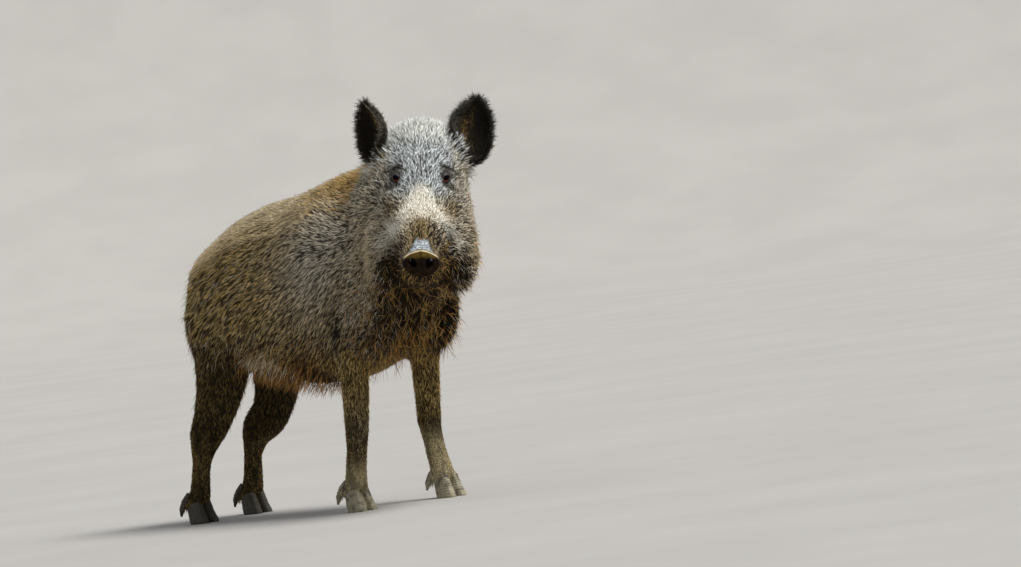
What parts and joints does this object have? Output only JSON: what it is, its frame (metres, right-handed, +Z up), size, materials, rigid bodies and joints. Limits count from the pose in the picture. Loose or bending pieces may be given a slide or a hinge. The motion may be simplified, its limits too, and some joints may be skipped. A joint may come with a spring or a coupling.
{
  "type": "wild boar",
  "caption": "Wild boar standing on cloven hooves, head turned to its right and facing the viewer, ears pricked; a still, life-size figure in a coarse winter coat.",
  "frame": {"origin": "under the middle of the animal's box, at the level of its soles", "axes": "+X is where the body faces, +Y is its left side, +Z is up"},
  "size_m": [1.1018, 0.4136, 0.9585],
  "materials": {
    "coat": "coarse brown-grey hair, matt",
    "ear_coat": "short black-brown hair, matt",
    "disc_skin": "bare, slightly moist skin",
    "horn": "dull horn",
    "eyeball": "wet and shiny"
  },
  "bodies": {
    "root": {"trunk": "coat", "neck": "coat", "head": "coat", "lower_jaw": "coat", "tail": "coat", "foreleg_left_upper": "coat", "foreleg_left_lower": "coat", "foreleg_right_upper": "coat", "foreleg_right_lower": "coat", "hindleg_left_upper": "coat", "hindleg_left_lower": "coat", "hindleg_right_upper": "coat", "hindleg_right_lower": "coat", "ear_left": "ear_coat", "ear_right": "ear_coat", "eye_left": "eyeball", "eye_right": "eyeball", "snout_disc": "disc_skin", "claw_foreleg_left_outer": "horn", "dewclaw_foreleg_left_outer": "horn", "claw_foreleg_left_inner": "horn", "dewclaw_foreleg_left_inner": "horn", "claw_foreleg_right_outer": "horn", "dewclaw_foreleg_right_outer": "horn", "claw_foreleg_right_inner": "horn", "dewclaw_foreleg_right_inner": "horn", "claw_hindleg_left_outer": "horn", "dewclaw_hindleg_left_outer": "horn", "claw_hindleg_left_inner": "horn", "dewclaw_hindleg_left_inner": "horn", "claw_hindleg_right_outer": "horn", "dewclaw_hindleg_right_outer": "horn", "claw_hindleg_right_inner": "horn", "dewclaw_hindleg_right_inner": "horn"}
  },
  "joints": []
}
